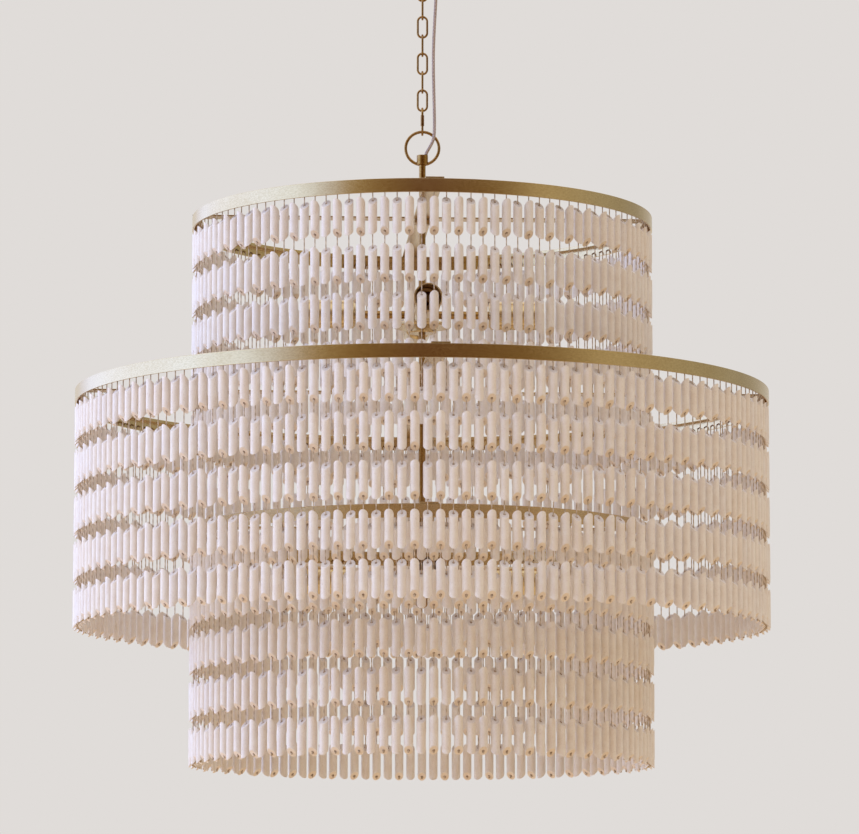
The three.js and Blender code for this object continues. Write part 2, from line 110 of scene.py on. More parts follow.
# Ceiling pieces
PLATE = (0.096, 0.026, 0.004)
PLATE_BOSS_RADIUS = 0.009
PLATE_BOSS_LOW = -0.013
PLATE_EDGE = 0.0006
CANOPY_RADIUS = 0.062
CANOPY_LOW = -0.034
CANOPY_RIM = -0.0005
CANOPY_WALL = 0.0016
CANOPY_NECK = 0.016
CANOPY_SHOULDER = 0.012
CANOPY_EDGE = 0.0004
CANOPY_STEPS = 96
COLLAR_RADIUS = 0.010
COLLAR_TOP = CANOPY_LOW - FIT_GAP
COLLAR_HEIGHT = 0.004
COLLAR_EDGE = 0.0006
COLLAR_KNURLS = 40
STUD_RADIUS = 0.004
STUD_BORE = STUD_RADIUS + FIT_GAP
STUD_TOP = -PLATE[2] - FIT_GAP
STUD_EDGE = 0.0005
LOOP_LENGTH = 0.030
LOOP_WIRE = 0.005
LOOP_MIDDLE = -0.0536

# Chain, quick link and hanging ring
LINK_LENGTH = 0.0362
LINK_WIDTH = 0.0179
LINK_WIRE = 0.0034
LINK_STEP = 0.0291
FIRST_LINK_MIDDLE = -0.0780
LINKS = 7
QUICK_LENGTH = 0.045
QUICK_WIDTH = 0.020
QUICK_WIRE = 0.0036
QUICK_OPENING = 0.006
QUICK_MIDDLE = -0.2859
SLEEVE_LENGTH = 0.017
SLEEVE_RADIUS = 0.0029
SLEEVE_BORE = 0.0021
SLEEVE_EDGE = 0.0003
HANGER_LENGTH = 0.0564
HANGER_WIRE = 0.0046
HANGER_MIDDLE = -0.3281
WIRE_SIDES = 16
BEND_STEPS = 20  # in a half turn

# Stem, its cap and its finial
STEM_RADIUS = 0.0052
STEM_BORE = 0.003
STEM_TOP = -0.3457
STEM_LOW = -1.0379
STEM_EDGE = 0.0003
STEM_HOLE = STEM_RADIUS + FIT_GAP  # in all that sits on the stem
CAP_RADIUS = 0.00885
CAP_TOP = -0.3392
CAP_LOW = -0.3546
CAP_ROOF = 0.0026
CAP_EDGE = 0.0009
CAP_EDGE_STEPS = 3
FINIAL_RADIUS = 0.009
FINIAL_TOP = -1.0312
FINIAL_LOW = -1.0449
BUSH_RADIUS = 0.0037
BUSH_NECK = 0.0029
BUSH_LIP = 0.0008
BUSH_PLACE = 0.0049
BUSH_EDGE = 0.0003
CANOPY_BUSH_PLACE = CORD_POINTS[0][0]
CANOPY_BUSH_EDGE = 0.0005

# Rings, spokes and nuts
BAND_HEIGHT = 0.0206
BAND_WALL = 0.003
BAND_EDGE = 0.0005
FLANGE_WIDTH = 0.0145
FLANGE_WALL = 0.005
SPOKE_WIDTH = 0.028
SPOKE_WALL = 0.0022
SPOKE_EDGE = 0.0004
NUT_RADIUS = 0.012
NUT_HEIGHT = 0.008
NUT_EDGE = 0.0008

# Bead strings
ROWS = 5
BEAD_RADIUS = 0.0068
BEAD_BORE = 0.0017
BEAD_HEIGHT = 0.0584
BEAD_SIDES = 12
BEAD_EDGE = 0.0006  # worn edge round the cut ends
BEAD_CUT = math.radians(43.5)
BEAD_INSET = 0.007
FIRST_ROW_DROP = 0.0252
ROW_PITCH = 0.0706
SHORT_BEAD_ROW = 3  # counted from zero
SHORT_BEAD_LOW = -0.7088  # just above the middle tier's spokes
SHORT_BEAD_REACH = 0.023  # of a spoke's middle line
BEAD_TWIST = math.radians(5)  # at most and either way, by chance
BEAD_DROP = 0.0004  # at most, by chance
ALONG_BEAD_SHARE = 0.9  # of a cut face's normal, before the ends are slanted
# What the attribute called cut says of a face, where the outside is zero
SKYLIT_CUT = 0.25  # the upper end, tinted cool grey: painted light from the sky above
BARE_CUT = 0.5  # the lower end
# the bore, darkened brown: painted shade inside the hole
SHADED_BORE = 1.0
TWINE_RADIUS = 0.0009
TWINE_SIDES = 6
KNOT_RADIUS = 0.0019
HOOK_RADIUS = 0.0013
HOOK_DROP = 0.0165  # of a hook's foot below the ring's top, behind the band
HOOK_REACH = 0.0041  # outwards, into the band
HOOK_RISE = 0.003
LAST_KNOT_RISE = 0.004  # the last knot sits in the mouth of the lowest bead

# Lamp clusters: every height is from the middle of the arms
CLUSTER_ARMS = 4
CLUSTER_TURN = math.radians(3.1)
BOSS_RADIUS = 0.022
BOSS_LOW = -0.029
DISC_RADIUS = 0.045
DISC_LOW = -0.020
DISC_TOP = -0.015
DISC_CHAMFER = 0.0012
NECK_RADIUS = 0.017
NECK_TOP = 0.012
HUB_CHAMFER = 0.0015  # of the boss and the neck
ARM_RADIUS = 0.0062
ARM_START = 0.011
ARM_COLLAR_RADIUS = 0.0082
ARM_COLLAR_START = 0.0165
ARM_COLLAR_LENGTH = 0.006
ARM_COLLAR_EDGE = 0.0008
SOCKET_START = 0.103
SOCKET_END = 0.176
SOCKET_RADIUS = 0.022
SOCKET_WALL = 0.0016
SOCKET_ROLL = 0.0006  # rolled rim, inside the shell
SOCKET_CHAMFER = 0.004
SOCKET_FLOOR = 0.112
SOCKET_EDGE = 0.0004
INSULATOR_RADIUS = 0.0195
INSULATOR_END = 0.140
INSULATOR_EDGE = 0.0006
SHELL_RADIUS = 0.0142
SHELL_DEPTH = 0.0009
SHELL_PITCH = 0.0036
SHELL_RIDGES = 7
RIDGE_STEPS = 6
SHELL_WALL = 0.0006
CONTACT_RADIUS = 0.004
CONTACT_HEIGHT = 0.0025

# Each tier: its ring's radius and top, its spokes' turn, its strings, and the first one's share of a pitch
SMALL_RING = {"radius": 0.3556, "strings": 120, "first_share": 0.0}
LARGE_RING = {"radius": 0.5334, "strings": 180, "first_share": 0.5}
TIERS = {
    "upper": {**SMALL_RING, "top": -0.4409, "turn": math.radians(3.1)},
    "middle": {**LARGE_RING, "top": -0.7133, "turn": math.radians(3.0)},
    "lower": {**SMALL_RING, "top": -0.9232, "turn": math.radians(1.8)},
}
CLUSTERS = {"upper": -0.5898, "lower": -1.0019}  # the height of the arms' middle

# Steps round a turned piece, and how its edges are softened
RING_STEPS = 192
ROUND_STEPS = 48
SMALL_STEPS = 32
DOME_STEPS = 10
HEXAGON = 6
EDGE_STEPS = 2
EDGE_TURN = math.radians(50)  # edges that turn more than this are softened
SOCKET_EDGE_TURN = math.radians(35)
HEX_SHARP = math.radians(25)

# Finishes: a noise's scale is in features a metre, and a bump's distance is in metres
TONE_SHARES = (0.3, 0.7)  # of a noise, between which one tone turns to the other
TONING_SCALE = 16.0  # brass tones down in patches of some 60 mm
MARK_SCALE = 240.0  # handling marks about 4 mm long
MARK_STRETCH = (1, 1, 3)  # and 1.4 mm high
MARK_SHARES = (0.35, 0.6)
MARK_COLOUR_SHARE = 0.2
MARK_BUMP = {"Strength": 0.06, "Distance": 0.0002}
BRASS_ROUGHNESS = (0.2, 0.25)
SPECK_SCALE = 900.0  # grog specks about 1 mm across
SPECK_SHARES = (0.30, 0.42)
SPECK_COLOUR_SHARE = 0.35
SPECK_BUMP = {"Strength": 0.15, "Distance": 0.0003}
CLOUD_SCALE = 70.0  # clouding of some 15 mm in the slip
CLOUD_SHARES = (0.35, 0.65)
CLOUD_COLOUR_SHARE = 0.25
PLY_SCALE = 63.0  # one ply in every 2.5 mm of height
PLY_SHARES = (0.2, 0.8)
PLY_BUMP = {"Strength": 0.3, "Distance": 0.0002}
BRAID_SCALE = 110.0  # diamonds of 1.4 mm, twice the real size, so that they show
BRAID_SHARES = (0.0, 0.5)
BRAID_BUMP = {"Strength": 0.15, "Distance": 0.0003}
GRAIN_SCALE = 1200.0  # a mould's grain of about 0.8 mm
GRAIN_BUMP = {"Strength": 0.2, "Distance": 0.0002}
MOTTLE_SCALE = 3.0  # the floor's paint, in patches of some 330 mm


# Materials

def linear(code):
    """A colour from its sRGB hex value."""
    channels = [int(code[i:i + 2], 16) / 255 for i in (1, 3, 5)]
    return [c / 12.92 if c <= 0.04045 else ((c + 0.055) / 1.055) ** 2.4 for c in channels] + [1.0]


def node(tree, kind, sockets=(), stops=(), **settings):
    """Adds a node. A socket takes a constant or an output. Stops are a ramp's positions and colours."""
    made = tree.nodes.new("ShaderNode" + kind)
    for name, value in settings.items():
        setattr(made, name, value)
    for name, value in dict(sockets).items():
        if isinstance(value, bpy.types.NodeSocket):
            tree.links.new(value, made.inputs[name])
        else:
            made.inputs[name].default_value = value
    if stops:
        band = made.color_ramp.elements
        while len(band) < len(stops):
            band.new(0)
        for element, (position, colour) in zip(band, stops):
            element.position = position
            element.color = colour
    return made


def tones(shares, *codes):
    """A colour ramp's stops, from the shares at which its colours stand and their hex values."""
    return [(share, linear(code)) for share, code in zip(shares, codes)]


def material(name, **surface):
    """A material, its tree, its Principled shader with the given constants, and the place on the object."""
    made = bpy.data.materials.new(name)
    made.use_nodes = True
    shader = made.node_tree.nodes["Principled BSDF"]
    for socket, value in surface.items():
        shader.inputs[socket.replace("_", " ")].default_value = value
    return made, made.node_tree, shader, node(made.node_tree, "TexCoord").outputs["Object"]


def cover(tree, shader, colour, height, bump):
    """Gives a shader its colour, and bumps that follow a height."""
    tree.links.new(colour, shader.inputs["Base Color"])
    raised = node(tree, "Bump", {"Height": height, **bump})
    tree.links.new(raised.outputs["Normal"], shader.inputs["Normal"])


def brushed_brass(name, dark, light):
    """Brass sheet and bar, brushed and left to tone down: it reflects softly, with faint handling marks."""
    made, tree, shader, place = material(name, Metallic=1.0)
    toning = node(tree, "TexNoise", {"Vector": place, "Scale": TONING_SCALE, "Detail": 3.0}).outputs["Fac"]
    brushed = node(tree, "Mapping", {"Vector": place, "Scale": MARK_STRETCH}).outputs["Vector"]
    marks = node(tree, "TexNoise", {"Vector": brushed, "Scale": MARK_SCALE, "Detail": 2.0}).outputs["Fac"]
    tone = node(tree, "ValToRGB", {"Fac": toning}, tones(TONE_SHARES, dark, light)).outputs["Color"]
    worn = node(tree, "ValToRGB", {"Fac": marks}, tones(MARK_SHARES, "#A98650", "#E3CB9C")).outputs["Color"]
    colour = node(tree, "Mix", {"Factor": MARK_COLOUR_SHARE, "A": tone, "B": worn}, data_type="RGBA")
    cover(tree, shader, colour.outputs["Result"], marks, MARK_BUMP)
    low, high = TONE_SHARES
    smooth, rough = BRASS_ROUGHNESS
    gloss = node(tree, "MapRange", {"Value": marks, "From Min": low, "From Max": high,
                                    "To Min": smooth, "To Max": rough})
    tree.links.new(gloss.outputs["Result"], shader.inputs["Roughness"])
    return made


def bisque_clay():
    """Fired clay: matt and chalky, each bead a little off in tone, its lower cut ends raw; painted skylight
    tints its upper cut ends and painted shade darkens its bore.
    """
    made, tree, shader, place = material("bisque_clay", Roughness=0.6)
    tone = node(tree, "Attribute", attribute_name="tone").outputs["Fac"]
    cut = node(tree, "Attribute", attribute_name="cut").outputs["Fac"]
    specks = node(tree, "TexNoise", {"Vector": place, "Scale": SPECK_SCALE, "Detail": 2.0}).outputs["Fac"]
    clouds = node(tree, "TexNoise", {"Vector": place, "Scale": CLOUD_SCALE, "Detail": 2.0}).outputs["Fac"]
    body = node(tree, "ValToRGB", {"Fac": tone}, tones((0.0, 0.5, 1.0), "#EADFD0", "#EEE6DA", "#E9E1D7"))
    # The upper cut ends are tinted cool grey as painted skylight, and the bore brown as painted shade in the
    # hole
    ends = node(tree, "ValToRGB", {"Fac": cut}, tones(
        (0.0, SKYLIT_CUT, BARE_CUT, SHADED_BORE), "#FFFFFF", "#F0EFF0", "#FDF4E8", "#A87450"))
    dark = node(tree, "ValToRGB", {"Fac": specks}, tones(SPECK_SHARES, "#B89C86", "#FFFFFF"))
    thin = node(tree, "ValToRGB", {"Fac": clouds}, tones(CLOUD_SHARES, "#E9DCD2", "#FFFFFF"))
    colour = body.outputs["Color"]
    for share, layer in ((1.0, ends), (SPECK_COLOUR_SHARE, dark), (CLOUD_COLOUR_SHARE, thin)):
        colour = node(tree, "Mix", {"Factor": share, "A": colour, "B": layer.outputs["Color"]},
                      data_type="RGBA", blend_type="MULTIPLY").outputs["Result"]
    cover(tree, shader, colour, specks, SPECK_BUMP)
    return made


def waxed_twine():
    """Waxed cotton twine: two plies that show as slanting bands, with a dull wax sheen."""
    made, tree, shader, place = material("waxed_twine", Roughness=0.55)
    plies = node(tree, "TexWave", {"Vector": place, "Scale": PLY_SCALE, "Distortion": 1.5, "Detail": 1.0},
                 wave_type="BANDS", bands_direction="DIAGONAL").outputs["Fac"]
    tone = node(tree, "ValToRGB", {"Fac": plies}, tones(PLY_SHARES, "#AE987C", "#CDB9A0"))
    cover(tree, shader, tone.outputs["Color"], plies, PLY_BUMP)
    return made


def braided_silk():
    """Lamp cord in a braided rayon sleeve: pale, slightly shiny, with a fine diagonal braid."""
    made, tree, shader, place = material("braided_silk", Roughness=0.5, Sheen_Weight=0.3, Sheen_Roughness=0.4)
    mirrored = node(tree, "Mapping", {"Vector": place, "Scale": (-1, 1, 1)}).outputs["Vector"]
    left, right = (node(tree, "TexWave", {"Vector": side, "Scale": BRAID_SCALE}, bands_direction="DIAGONAL")
                   for side in (place, mirrored))
    braid = node(tree, "Math", {0: left.outputs["Fac"], 1: right.outputs["Fac"]},
                 operation="MULTIPLY").outputs["Value"]
    tone = node(tree, "ValToRGB", {"Fac": braid}, tones(BRAID_SHARES, "#A8958A", "#BDAA9E"))
    cover(tree, shader, tone.outputs["Color"], braid, BRAID_BUMP)
    return made


def moulded(name, dark, light, rough):
    """A small moulding, with a fine matt grain from the tool."""
    made, tree, shader, place = material(name, Roughness=rough)
    grain = node(tree, "TexNoise", {"Vector": place, "Scale": GRAIN_SCALE, "Detail": 2.0}).outputs["Fac"]
    tone = node(tree, "ValToRGB", {"Fac": grain}, tones(TONE_SHARES, dark, light))
    cover(tree, shader, tone.outputs["Color"], grain, GRAIN_BUMP)
    return made


BRASS = brushed_brass("satin_brass", "#CDB384", "#D6BF92")
SHADED_BRASS = brushed_brass("shaded_brass", "#84591E", "#9A6F2A")  # the same metal, darker: painted shade and painted dark reflections on the chain, stem, arms, nuts and hooks
CLAY = bisque_clay()
TWINE = waxed_twine()
SILK = braided_silk()
RUBBER = moulded("moulded_rubber", "#2F2722", "#40362E", rough=0.6)  # natural rubber grommets, dark brown
PHENOLIC = moulded("moulded_phenolic", "#B98C55", "#C99C62", rough=0.35)  # brown resin lamp-holder insulators


# Making and placing pieces

def finished(name, shapes, finish, body, nodes=(), sharp=SHARP):
    """Turns a bmesh into a piece that rides on a body and stands for the CAD nodes."""
    bmesh.ops.recalc_face_normals(shapes, faces=shapes.faces)
    mesh = bpy.data.meshes.new(name)
    shapes.to_mesh(mesh)
    shapes.free()
    mesh.shade_smooth()
    mesh.set_sharp_from_angle(angle=sharp)
    mesh.materials.append(finish)
    piece = bpy.data.objects.new(name, mesh)
    bpy.context.scene.collection.objects.link(piece)
    # Large faces stay flat beside their narrow worn edges
    piece.modifiers.new("weighted_normals", "WEIGHTED_NORMAL").keep_sharp = True
    if body:
        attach(piece, body)
    if nodes:
        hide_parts(*nodes)
    return piece


def added(shapes, before):
    """The points that a bmesh has gained."""
    return [vert for vert in shapes.verts if vert not in before]


def lathe(shapes, profile, steps, closed=False, place=None):
    """Turns a profile of (radius, height) points about Z, and then moves it to its place."""
    points = [shapes.verts.new((radius, 0, height)) for radius, height in profile]
    following = points[1:] + (points[:1] if closed else [])
    edges = [shapes.edges.new(pair) for pair in zip(points, following)]
    before = set(shapes.verts) - set(points)
    bmesh.ops.spin(shapes, geom=points + edges, cent=ORIGIN, axis=UP, angle=TURN, steps=steps, use_merge=True)
    bmesh.ops.remove_doubles(shapes, verts=added(shapes, before), dist=MERGE)
    made = added(shapes, before)
    if place:
        bmesh.ops.transform(shapes, matrix=place, verts=made)
    return made


def soften(shapes, verts, width, angle=EDGE_TURN, segments=EDGE_STEPS):
    """Bevels the sharp edges among some points."""
    chosen = set(verts)
    edges = [edge for edge in shapes.edges if edge.verts[0] in chosen and edge.verts[1] in chosen
             and len(edge.link_faces) == 2 and edge.calc_face_angle(0) > angle]
    bmesh.ops.bevel(shapes, geom=edges, offset=width, offset_type="OFFSET", segments=segments,
                    profile=0.5, affect="EDGES", material=-1, clamp_overlap=True)


def bent_wire(shapes, wire, start, moves, closed):
    """Sweeps a round wire that starts upwards. A move is a run along Z or a turn about a centre."""
    before = set(shapes.verts)
    bmesh.ops.create_circle(shapes, cap_ends=False, segments=WIRE_SIDES, radius=wire / 2,
                            matrix=Matrix.Translation(start))
    edges = [edge for edge in shapes.edges if edge.verts[0] not in before]
    first = list(edges)
    for kind, value in moves:
        if kind == "run":
            made = bmesh.ops.extrude_edge_only(shapes, edges=edges)["geom"]
            verts = [item for item in made if isinstance(item, bmesh.types.BMVert)]
            bmesh.ops.translate(shapes, vec=UP * value, verts=verts)
        else:
            verts = list({vert for edge in edges for vert in edge.verts})
            made = bmesh.ops.spin(shapes, geom=verts + edges, cent=value, axis=-ALONG, angle=HALF_TURN,
                                  steps=BEND_STEPS)["geom_last"]
        edges = [item for item in made if isinstance(item, bmesh.types.BMEdge)]
    if closed:
        bmesh.ops.remove_doubles(shapes, verts=added(shapes, before), dist=MERGE)
    else:
        bmesh.ops.holes_fill(shapes, edges=first + edges, sides=WIRE_SIDES)
    return added(shapes, before)


def oval(length, width, wire, place, opening=0.0):
    """A closed oval of round wire, or one with an opening in the leg on its +X side."""
    shapes = bmesh.new()
    leg = (width - wire) / 2
    straight = (length - width) / 2
    first = opening / 2
    moves = [("turn", UP * straight), ("turn", -UP * straight)]
    if straight:
        end = ("run", straight - first)
        moves = [end, moves[0], ("run", -2 * straight), moves[1], end]
    made = bent_wire(shapes, wire, Vector((leg, 0, first)), moves, not opening)
    bmesh.ops.transform(shapes, matrix=place, verts=made)
    return shapes


def lifted(height, angle=0.0):
    """A turn about Z, and then a lift."""
    return Matrix.Translation(UP * height) @ Matrix.Rotation(angle, 4, "Z")


# Camera, light and floor

def add_camera():
    """The photograph's view, from below the tiers and some seven metres away."""
    camera = bpy.data.objects.new("camera", bpy.data.cameras.new("camera"))
    camera.location = CAMERA_PLACE
    turned = Matrix.Rotation(QUARTER + CAMERA_TILT, 3, "X") @ Matrix.Rotation(CAMERA_ROLL, 3, "Z")
    camera.rotation_euler = turned.to_euler()
    camera.data.lens = CAMERA_LENS
    camera.data.sensor_width = CAMERA_SENSOR
    camera.data.sensor_fit = "HORIZONTAL"
    camera.data.clip_end = CAMERA_SIGHT
    bpy.context.scene.collection.objects.link(camera)
    bpy.context.scene.camera = camera


def add_world():
    """A room that is bright on the left, pale behind, dimmer on the right and brown behind the viewer."""
    world = bpy.data.worlds.new("room")
    bpy.context.scene.world = world
    world.use_nodes = True
    tree = world.node_tree
    way = node(tree, "SeparateXYZ", {0: node(tree, "TexCoord").outputs["Generated"]}).outputs
    back = node(tree, "Math", {0: way["Y"], 1: -1.0}, operation="MULTIPLY").outputs["Value"]
    angle = node(tree, "Math", {0: way["X"], 1: back}, operation="ARCTAN2").outputs["Value"]
    share = node(tree, "MapRange", {"Value": angle, "From Min": -HALF_TURN,
                                    "From Max": HALF_TURN}).outputs["Result"]
    sides = node(tree, "ValToRGB", {"Fac": share}, ROOM_SHARES).outputs["Color"]
    height = node(tree, "MapRange", {"Value": way["Z"], "From Min": -1.0}).outputs["Result"]
    rise = node(tree, "ValToRGB", {"Fac": height}, RISE_SHARES).outputs["Color"]
    over = node(tree, "Mix", {"Factor": rise, "A": sides, "B": CEILING_GLOW}, data_type="RGBA")
    seen = node(tree, "LightPath").outputs["Is Camera Ray"]
    colour = node(tree, "Mix", {"Factor": seen, "A": over.outputs["Result"], "B": linear(BACKDROP)},
                  data_type="RGBA")
    tree.links.new(colour.outputs["Result"], tree.nodes["Background"].inputs["Color"])


def add_lamp(name, place, size, power, colour):
    """A soft rectangle of light that faces the tiers."""
    lamp = bpy.data.objects.new(name, bpy.data.lights.new(name, "AREA"))
    lamp.data.shape = "RECTANGLE"
    lamp.data.size, lamp.data.size_y = size
    lamp.data.energy = power
    lamp.data.color = linear(colour)[:3]
    lamp.visible_glossy = False  # metal shows the room's own brightness instead
    lamp.location = place
    lamp.rotation_euler = (Vector(LAMP_TARGET) - Vector(place)).to_track_quat("-Z", "Y").to_euler()
    bpy.context.scene.collection.objects.link(lamp)


def add_floor():
    """A pale painted floor that throws warm light up."""
    shapes = bmesh.new()
    bmesh.ops.create_grid(shapes, x_segments=1, y_segments=1, size=FLOOR_SIDE / 2,
                          matrix=Matrix.Translation(UP * FLOOR_HEIGHT))
    paint, tree, shader, place = material("painted_floor", Roughness=0.9)
    mottle = node(tree, "TexNoise", {"Vector": place, "Scale": MOTTLE_SCALE}).outputs["Fac"]
    warm = node(tree, "ValToRGB", {"Fac": mottle}, tones(TONE_SHARES, "#E4CDA8", "#EAD6B6")).outputs["Color"]
    pale = node(tree, "ValToRGB", {"Fac": mottle}, tones(TONE_SHARES, "#D2D0C6", "#D8D6CC")).outputs["Color"]
    seen = node(tree, "LightPath").outputs["Is Camera Ray"]
    colour = node(tree, "Mix", {"Factor": seen, "A": warm, "B": pale}, data_type="RGBA")
    tree.links.new(colour.outputs["Result"], shader.inputs["Base Color"])
    finished("floor", shapes, paint, None)


add_camera()
add_world()
for lamp_name, settings in LAMPS.items():
    add_lamp(lamp_name, **settings)
add_floor()
bpy.context.scene.view_settings.view_transform = "Standard"


# Supply cord

def span_points(start, first, last, end):
    """Points along one curved span, without its last."""
    line = []
    for i in range(CORD_STEPS):
        t = i / CORD_STEPS
        s = 1 - t
        line.append(start * s ** 3 + first * 3 * s * s * t + last * 3 * s * t * t + end * t ** 3)
    return line


def cord_line():
    """The cord's middle: one smooth line through its points, as a list for each span."""
    points = [Vector(point) for point in CORD_POINTS]
    ways = [(after - before).normalized() for before, after in zip(
        [points[0]] + points[:-1], points[1:] + [points[-1]])]
    spans = []
    for i in range(len(points) - 1):
        reach = (points[i + 1] - points[i]).length / 3  # a Bezier handle is a third of its span
        first, last = points[i] + ways[i] * reach, points[i + 1] - ways[i + 1] * reach
        spans.append(span_points(points[i], first, last, points[i + 1]))
    return spans


def tube(name, path, diameter):
    """A round tube along a path."""
    curve = bpy.data.curves.new(name, "CURVE")
    curve.dimensions = "3D"
    curve.bevel_depth = diameter / 2
    curve.bevel_resolution = CORD_ROUND
    curve.use_fill_caps = True
    spline = curve.splines.new("POLY")
    spline.points.add(len(path) - 1)
    for point, place in zip(spline.points, path):
        point.co = (*place, 1)
    holder = bpy.data.objects.new(name, curve)
    bpy.context.scene.collection.objects.link(holder)
    bpy.context.view_layer.update()
    mesh = bpy.data.meshes.new_from_object(holder.evaluated_get(bpy.context.evaluated_depsgraph_get()))
    bpy.data.objects.remove(holder)
    shapes = bmesh.new()
    shapes.from_mesh(mesh)
    bmesh.ops.remove_doubles(shapes, verts=shapes.verts, dist=MERGE)
    bpy.data.meshes.remove(mesh)
    return shapes


def add_cord():
    """The supply cord, in stretches that each run between two bodies; the stretches ride on no body."""
    spans = cord_line()
    for number, (start, end, first, second) in enumerate(CORD_STRETCHES, 1):
        path = [point for span in spans[start:end] for point in span] + [Vector(CORD_POINTS[end])]
        name = f"supply_cord_stretch_{number}"
        piece = finished(name, tube(name, path, CORD_DIAMETER), SILK, None)
        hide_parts(f"supply_cord_{number}")
        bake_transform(piece)


add_cord()


# Canopy, loop and what holds them

def add_ceiling_bar():
    """The bar on the ceiling, with the boss that takes the stud."""
    shapes = bmesh.new()
    made = bmesh.ops.create_cube(shapes, size=1.0)["verts"]
    bmesh.ops.scale(shapes, vec=PLATE, verts=made)
    bmesh.ops.translate(shapes, vec=-UP * PLATE[2] / 2, verts=made)
    boss = [(STUD_BORE, PLATE_BOSS_LOW), (PLATE_BOSS_RADIUS, PLATE_BOSS_LOW),
            (PLATE_BOSS_RADIUS, -PLATE[2] / 2), (STUD_BORE, -PLATE[2] / 2)]
    made += lathe(shapes, boss, SMALL_STEPS, closed=True)
    soften(shapes, made, PLATE_EDGE)
    finished("ceiling_bar", shapes, BRASS, "ceiling_fitting", ["ceiling_plate"])


def add_canopy():
    """The domed canopy, its collar nut, and the loop on its stud."""
    shoulder = CANOPY_LOW + CANOPY_SHOULDER
    outer = [(CANOPY_NECK, CANOPY_LOW)]
    dome = CANOPY_RADIUS - CANOPY_NECK
    for i in range(1, DOME_STEPS + 1):
        bend = QUARTER * i / DOME_STEPS
        outer.append((CANOPY_NECK + dome * math.sin(bend), shoulder - CANOPY_SHOULDER * math.cos(bend)))
    outer.append((CANOPY_RADIUS, CANOPY_RIM))
    shapes = bmesh.new()
    lathe(shapes, [(STUD_BORE, CANOPY_LOW)] + outer, CANOPY_STEPS)
    bmesh.ops.recalc_face_normals(shapes, faces=shapes.faces)
    if sum(face.normal.z for face in shapes.faces) > 0:
        bmesh.ops.reverse_faces(shapes, faces=shapes.faces)
    bmesh.ops.solidify(shapes, geom=shapes.faces, thickness=CANOPY_WALL)
    soften(shapes, shapes.verts, CANOPY_EDGE)
    finished("canopy_cup", shapes, BRASS, "ceiling_fitting", ["canopy"])

    shapes = bmesh.new()
    low = COLLAR_TOP - COLLAR_HEIGHT
    collar = [(STUD_BORE, low), (COLLAR_RADIUS, low), (COLLAR_RADIUS, COLLAR_TOP), (STUD_BORE, COLLAR_TOP)]
    soften(shapes, lathe(shapes, collar, COLLAR_KNURLS, closed=True), COLLAR_EDGE)
    finished("canopy_collar_nut", shapes, BRASS, "ceiling_fitting", ["canopy_collar"])

    shapes = oval(LOOP_LENGTH, LOOP_LENGTH, LOOP_WIRE, lifted(LOOP_MIDDLE, QUARTER))
    foot = LOOP_MIDDLE + LOOP_LENGTH / 2 - LOOP_WIRE / 2
    stud = [(0, foot), (STUD_RADIUS, foot), (STUD_RADIUS, STUD_TOP), (0, STUD_TOP)]
    soften(shapes, lathe(shapes, stud, SMALL_STEPS), STUD_EDGE)
    finished("canopy_loop_wire", shapes, SHADED_BRASS, "ceiling_fitting", ["canopy_loop"])


def add_bushes():
    """The cord's grommets in the canopy and in the stem cap."""
    low, high = CANOPY_LOW - BUSH_LIP, CANOPY_LOW + CANOPY_WALL
    profile = [(0, low), (BUSH_RADIUS, low), (BUSH_RADIUS, high), (0, high)]
    shapes = bmesh.new()
    made = lathe(shapes, profile, SMALL_STEPS, place=Matrix.Translation(ACROSS * CANOPY_BUSH_PLACE))
    soften(shapes, made, CANOPY_BUSH_EDGE)
    finished("canopy_grommet", shapes, RUBBER, "ceiling_fitting", ["canopy_bush"])

    low, lip = CAP_TOP - CAP_ROOF, CAP_TOP + FIT_GAP
    top = lip + BUSH_LIP
    profile = [(0, low), (BUSH_NECK, low), (BUSH_NECK, lip), (BUSH_RADIUS, lip), (BUSH_RADIUS, top), (0, top)]
    shapes = bmesh.new()
    made = lathe(shapes, profile, SMALL_STEPS, place=Matrix.Translation(ACROSS * BUSH_PLACE))
    soften(shapes, made, BUSH_EDGE)
    finished("stem_cap_grommet", shapes, RUBBER, "light", ["stem_cap_bush"])


# Chain, quick link and hanging ring

def add_chain():
    """Seven links, turned a quarter by turns."""
    for i in range(LINKS):
        place = lifted(FIRST_LINK_MIDDLE - LINK_STEP * i, QUARTER * (i % 2))
        shapes = oval(LINK_LENGTH, LINK_WIDTH, LINK_WIRE, place)
        number = i + 1
        finished(f"link_{number}_wire", shapes, SHADED_BRASS, f"link_{number}", [f"chain_link_{number}"])


def add_quick_link():
    """The oval screw link, with its open leg towards the viewer, and the nut on that leg."""
    place = lifted(QUICK_MIDDLE, -QUARTER)
    shapes = oval(QUICK_LENGTH, QUICK_WIDTH, QUICK_WIRE, place, QUICK_OPENING)
    finished("quick_link_wire", shapes, SHADED_BRASS, "quick", ["quick_link"])

    leg = (QUICK_WIDTH - QUICK_WIRE) / 2
    half = SLEEVE_LENGTH / 2
    shapes = bmesh.new()
    profile = [(SLEEVE_BORE, -half), (SLEEVE_RADIUS, -half), (SLEEVE_RADIUS, half), (SLEEVE_BORE, half)]
    made = lathe(shapes, profile, HEXAGON, closed=True)
    bmesh.ops.translate(shapes, vec=UP * QUICK_MIDDLE - ALONG * leg, verts=made)
    soften(shapes, made, SLEEVE_EDGE)
    finished("quick_link_nut", shapes, SHADED_BRASS, "sleeve", ["quick_link_sleeve"], HEX_SHARP)


def add_hanging_ring():
    """The round ring between the quick link and the stem cap."""
    shapes = oval(HANGER_LENGTH, HANGER_LENGTH, HANGER_WIRE, lifted(HANGER_MIDDLE))
    finished("hanging_ring_wire", shapes, SHADED_BRASS, "hanger", ["hanging_ring"])


# Stem, cap, finial and nuts

